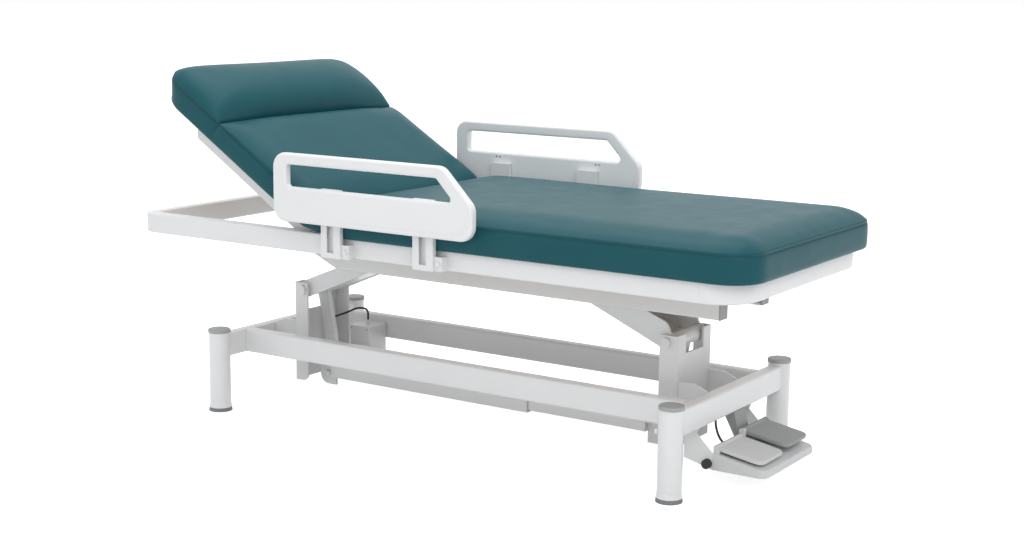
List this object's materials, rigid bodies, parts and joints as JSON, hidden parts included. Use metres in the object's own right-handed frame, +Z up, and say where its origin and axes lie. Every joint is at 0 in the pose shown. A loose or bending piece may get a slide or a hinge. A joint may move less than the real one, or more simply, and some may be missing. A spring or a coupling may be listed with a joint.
{
  "type": "examination table",
  "caption": "Height-adjustable examination table with a raised padded backrest, fixed padded seat, sliding side guards and foot pedals.",
  "frame": {"origin": "on the floor under the middle of the whole outline", "axes": "+Z up, +X towards the foot end, +Y towards the far long side"},
  "size_m": [1.885, 0.85, 0.9617],
  "materials": {
    "frame_paint": "smooth white powder coat",
    "grey_plastic": "matt grey end caps",
    "black_rubber": "matt black rubber",
    "steel": "turned steel",
    "black_plastic": "textured black housing",
    "bearing_plastic": "plain natural nylon",
    "upholstery": "teal artificial leather with a fine grain",
    "plywood": "plain birch plywood",
    "guard_plastic": "white satin moulding",
    "pedal_light": "light grey moulding",
    "pedal_dark": "dark grey moulding"
  },
  "bodies": {
    "base": {"base_rail_left": "frame_paint", "base_rail_right": "frame_paint", "base_cross_head": "frame_paint", "base_cross_foot": "frame_paint", "legs": "frame_paint", "leg_caps": "grey_plastic", "leg_feet": "black_rubber", "head_column": "frame_paint", "foot_column": "frame_paint", "column_gussets": "frame_paint", "pivot_shafts": "steel", "pivot_bushes": "steel", "control_box": "black_plastic", "control_cable": "black_rubber", "pedal_housing": "pedal_light", "pedal_pins": "steel", "housing_brackets": "frame_paint", "bracket_knobs": "black_rubber", "housing_strut": "pedal_dark", "pedal_cable": "black_rubber"},
    "head_arm": {"head_arm_frame": "frame_paint", "head_lever": "frame_paint", "head_arm_pin": "steel", "head_drive_pin": "steel"},
    "foot_arm": {"foot_arm_frame": "frame_paint", "foot_lever": "frame_paint", "foot_arm_pin": "steel", "foot_drive_pin": "steel", "foot_rollers": "bearing_plastic"},
    "housing": {"drive_housing": "frame_paint"},
    "slider": {"drive_tube": "frame_paint"},
    "top": {"top_rail_left": "frame_paint", "top_rail_right": "frame_paint", "top_bend_head": "frame_paint", "top_bend_foot": "frame_paint", "seat_cross_tubes": "frame_paint", "rest_strip": "frame_paint", "under_beam_left": "frame_paint", "under_beam_right": "frame_paint", "beam_caps": "grey_plastic", "head_bearing_blocks": "bearing_plastic", "seat_board": "plywood", "seat_cushion": "upholstery", "guard_posts_left": "frame_paint", "guard_posts_right": "frame_paint", "post_spacers": "frame_paint", "post_clips": "frame_paint", "backrest_hinge_pins": "steel"},
    "backrest": {"back_bar_left": "frame_paint", "back_bar_right": "frame_paint", "back_cross_tubes": "frame_paint", "back_board": "plywood", "back_cushion": "upholstery"},
    "right_guard": {"guard_right": "guard_plastic", "guard_slides_right": "bearing_plastic"},
    "left_guard": {"guard_left": "guard_plastic", "guard_slides_left": "bearing_plastic"},
    "lowering_pedal": {"pedal_down": "pedal_light"},
    "raising_pedal": {"pedal_up": "pedal_dark"}
  },
  "joints": [
    {"name": "lift", "type": "hinge", "parent": "base", "child": "head_arm", "pos_m": [-0.5825, 0, 0.33], "axis": [0, -1, 0], "range_deg": [-9, 42]},
    {"name": "foot_arm_turn", "type": "hinge", "parent": "base", "child": "foot_arm", "pos_m": [0.5975, 0, 0.33], "axis": [0, -1, 0], "range_deg": [-42, 9]},
    {"name": "top_level", "type": "hinge", "parent": "head_arm", "child": "top", "pos_m": [-0.27589, 0, 0.457], "axis": [0, -1, 0], "range_deg": [-42, 9]},
    {"name": "housing_turn", "type": "hinge", "parent": "head_arm", "child": "housing", "pos_m": [-0.5355, 0, 0.083], "axis": [0, -1, 0], "range_deg": [-42, 9]},
    {"name": "slider_turn", "type": "hinge", "parent": "foot_arm", "child": "slider", "pos_m": [0.5505, 0, 0.083], "axis": [0, -1, 0], "range_deg": [-9, 42]},
    {"name": "backrest_tilt", "type": "hinge", "parent": "top", "child": "backrest", "pos_m": [-0.323, 0, 0.53], "axis": [0, 1, 0], "range_deg": [-32.4, 35]},
    {"name": "right_guard_slide", "type": "slide", "parent": "top", "child": "right_guard", "axis": [0, 0, 1], "range_m": [-0.108, 0.029]},
    {"name": "left_guard_slide", "type": "slide", "parent": "top", "child": "left_guard", "axis": [0, 0, 1], "range_m": [-0.137, 0]},
    {"name": "lowering_pedal_press", "type": "hinge", "parent": "base", "child": "lowering_pedal", "pos_m": [0.768, 0, 0.098], "axis": [0, 1, 0], "range_deg": [0, 2.5], "stiffness_Nm_per_rad": 8, "springref_deg": -5.73},
    {"name": "raising_pedal_press", "type": "hinge", "parent": "base", "child": "raising_pedal", "pos_m": [0.768, 0, 0.109], "axis": [0, 1, 0], "range_deg": [0, 6], "stiffness_Nm_per_rad": 8, "springref_deg": -5.73}
  ],
  "couplings": [
    {"joint": "foot_arm_turn", "follows": "lift", "ratio": -1},
    {"joint": "top_level", "follows": "lift", "ratio": -1},
    {"joint": "housing_turn", "follows": "lift", "ratio": -1},
    {"joint": "slider_turn", "follows": "lift", "ratio": 1}
  ]
}
